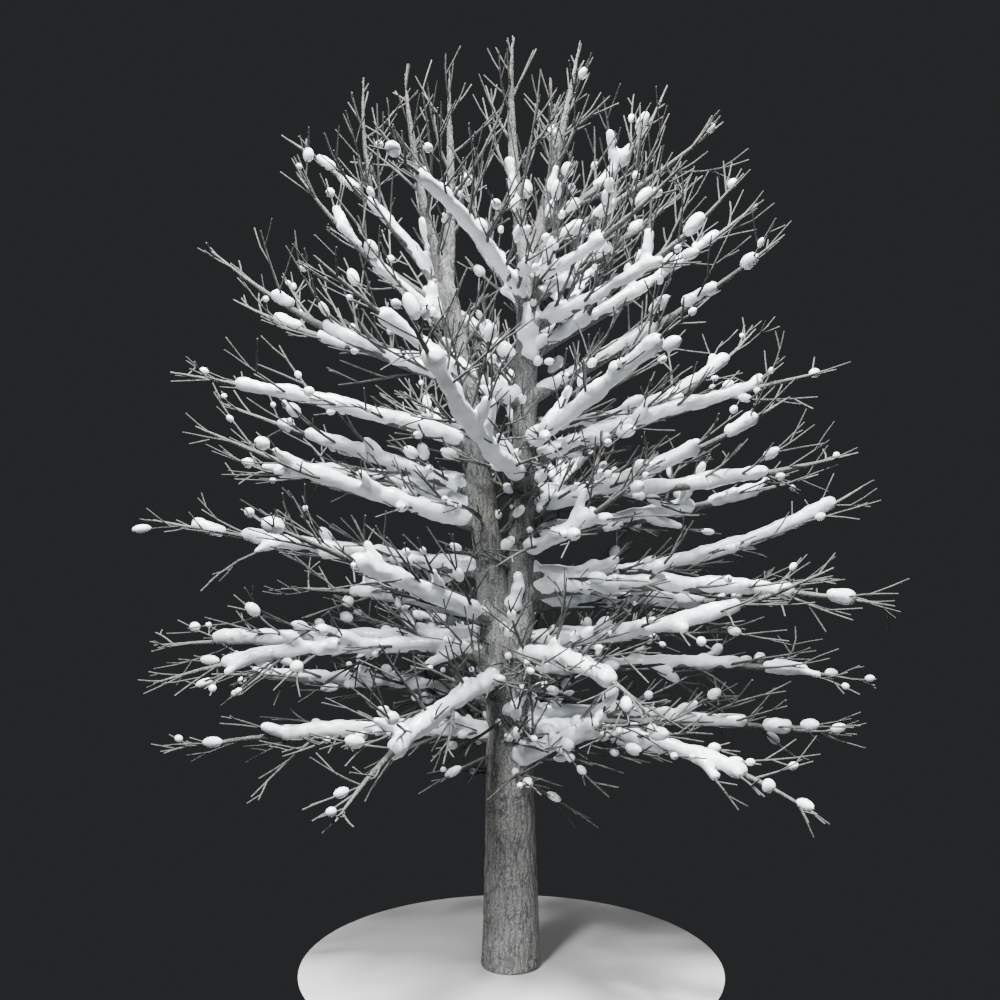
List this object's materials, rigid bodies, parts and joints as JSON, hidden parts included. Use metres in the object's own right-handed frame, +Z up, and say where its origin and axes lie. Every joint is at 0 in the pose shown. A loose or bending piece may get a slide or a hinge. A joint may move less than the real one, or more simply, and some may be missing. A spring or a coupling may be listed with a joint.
{
  "type": "snow-laden bare winter tree",
  "caption": "Leafless broadleaf tree in winter: a furrowed trunk forks into two stems whose many boughs carry rounded loads of snow, rooted at a flat cut at ground level.",
  "frame": {"origin": "centre of the flat cut under the trunk, at ground level", "axes": "+Z up the trunk, +X to the right of the front view, +Y to the back of the tree"},
  "size_m": [7.5834, 6.0087, 9.2623],
  "materials": {
    "trunk_bark": "dry grey-brown bark in upright plates with dark wandering furrows and faint yellow-green tints",
    "stem_bark": "dry grey-brown bark with finer furrows than the trunk's",
    "bough_bark": "dry grey bark, slightly rough, carrying rounded white settled snow"
  },
  "bodies": {
    "root": {"trunk": "trunk_bark", "left_stem": "stem_bark", "right_stem": "stem_bark", "left_inner_leader": "stem_bark", "left_outer_leader": "stem_bark", "right_inner_leader": "stem_bark", "right_outer_leader": "stem_bark", "trunk_bough_1": "bough_bark", "trunk_bough_2": "bough_bark", "trunk_bough_3": "bough_bark", "trunk_bough_4": "bough_bark", "trunk_bough_5": "bough_bark", "trunk_bough_6": "bough_bark", "trunk_bough_7": "bough_bark", "trunk_bough_8": "bough_bark", "trunk_bough_9": "bough_bark", "trunk_bough_10": "bough_bark", "trunk_bough_11": "bough_bark", "trunk_bough_12": "bough_bark", "trunk_bough_13": "bough_bark", "trunk_bough_14": "bough_bark", "trunk_bough_15": "bough_bark", "trunk_bough_16": "bough_bark", "left_stem_bough_1": "bough_bark", "left_stem_bough_2": "bough_bark", "left_stem_bough_3": "bough_bark", "left_stem_bough_4": "bough_bark", "left_stem_bough_5": "bough_bark", "left_stem_bough_6": "bough_bark", "left_stem_bough_7": "bough_bark", "left_stem_bough_8": "bough_bark", "left_stem_bough_9": "bough_bark", "left_stem_bough_10": "bough_bark", "right_stem_bough_1": "bough_bark", "right_stem_bough_2": "bough_bark", "right_stem_bough_3": "bough_bark", "right_stem_bough_4": "bough_bark", "right_stem_bough_5": "bough_bark", "right_stem_bough_6": "bough_bark", "right_stem_bough_7": "bough_bark", "right_stem_bough_8": "bough_bark", "right_stem_bough_9": "bough_bark", "right_stem_bough_10": "bough_bark", "right_stem_bough_11": "bough_bark", "right_stem_bough_12": "bough_bark", "right_stem_bough_13": "bough_bark", "right_stem_bough_14": "bough_bark", "right_stem_bough_15": "bough_bark", "right_stem_bough_16": "bough_bark", "right_stem_bough_17": "bough_bark", "right_stem_bough_18": "bough_bark", "right_stem_bough_19": "bough_bark", "right_stem_bough_20": "bough_bark", "right_stem_bough_21": "bough_bark", "right_stem_bough_22": "bough_bark", "right_stem_bough_23": "bough_bark", "right_outer_leader_bough_1": "bough_bark", "right_outer_leader_bough_2": "bough_bark", "left_riser": "bough_bark"}
  },
  "joints": []
}
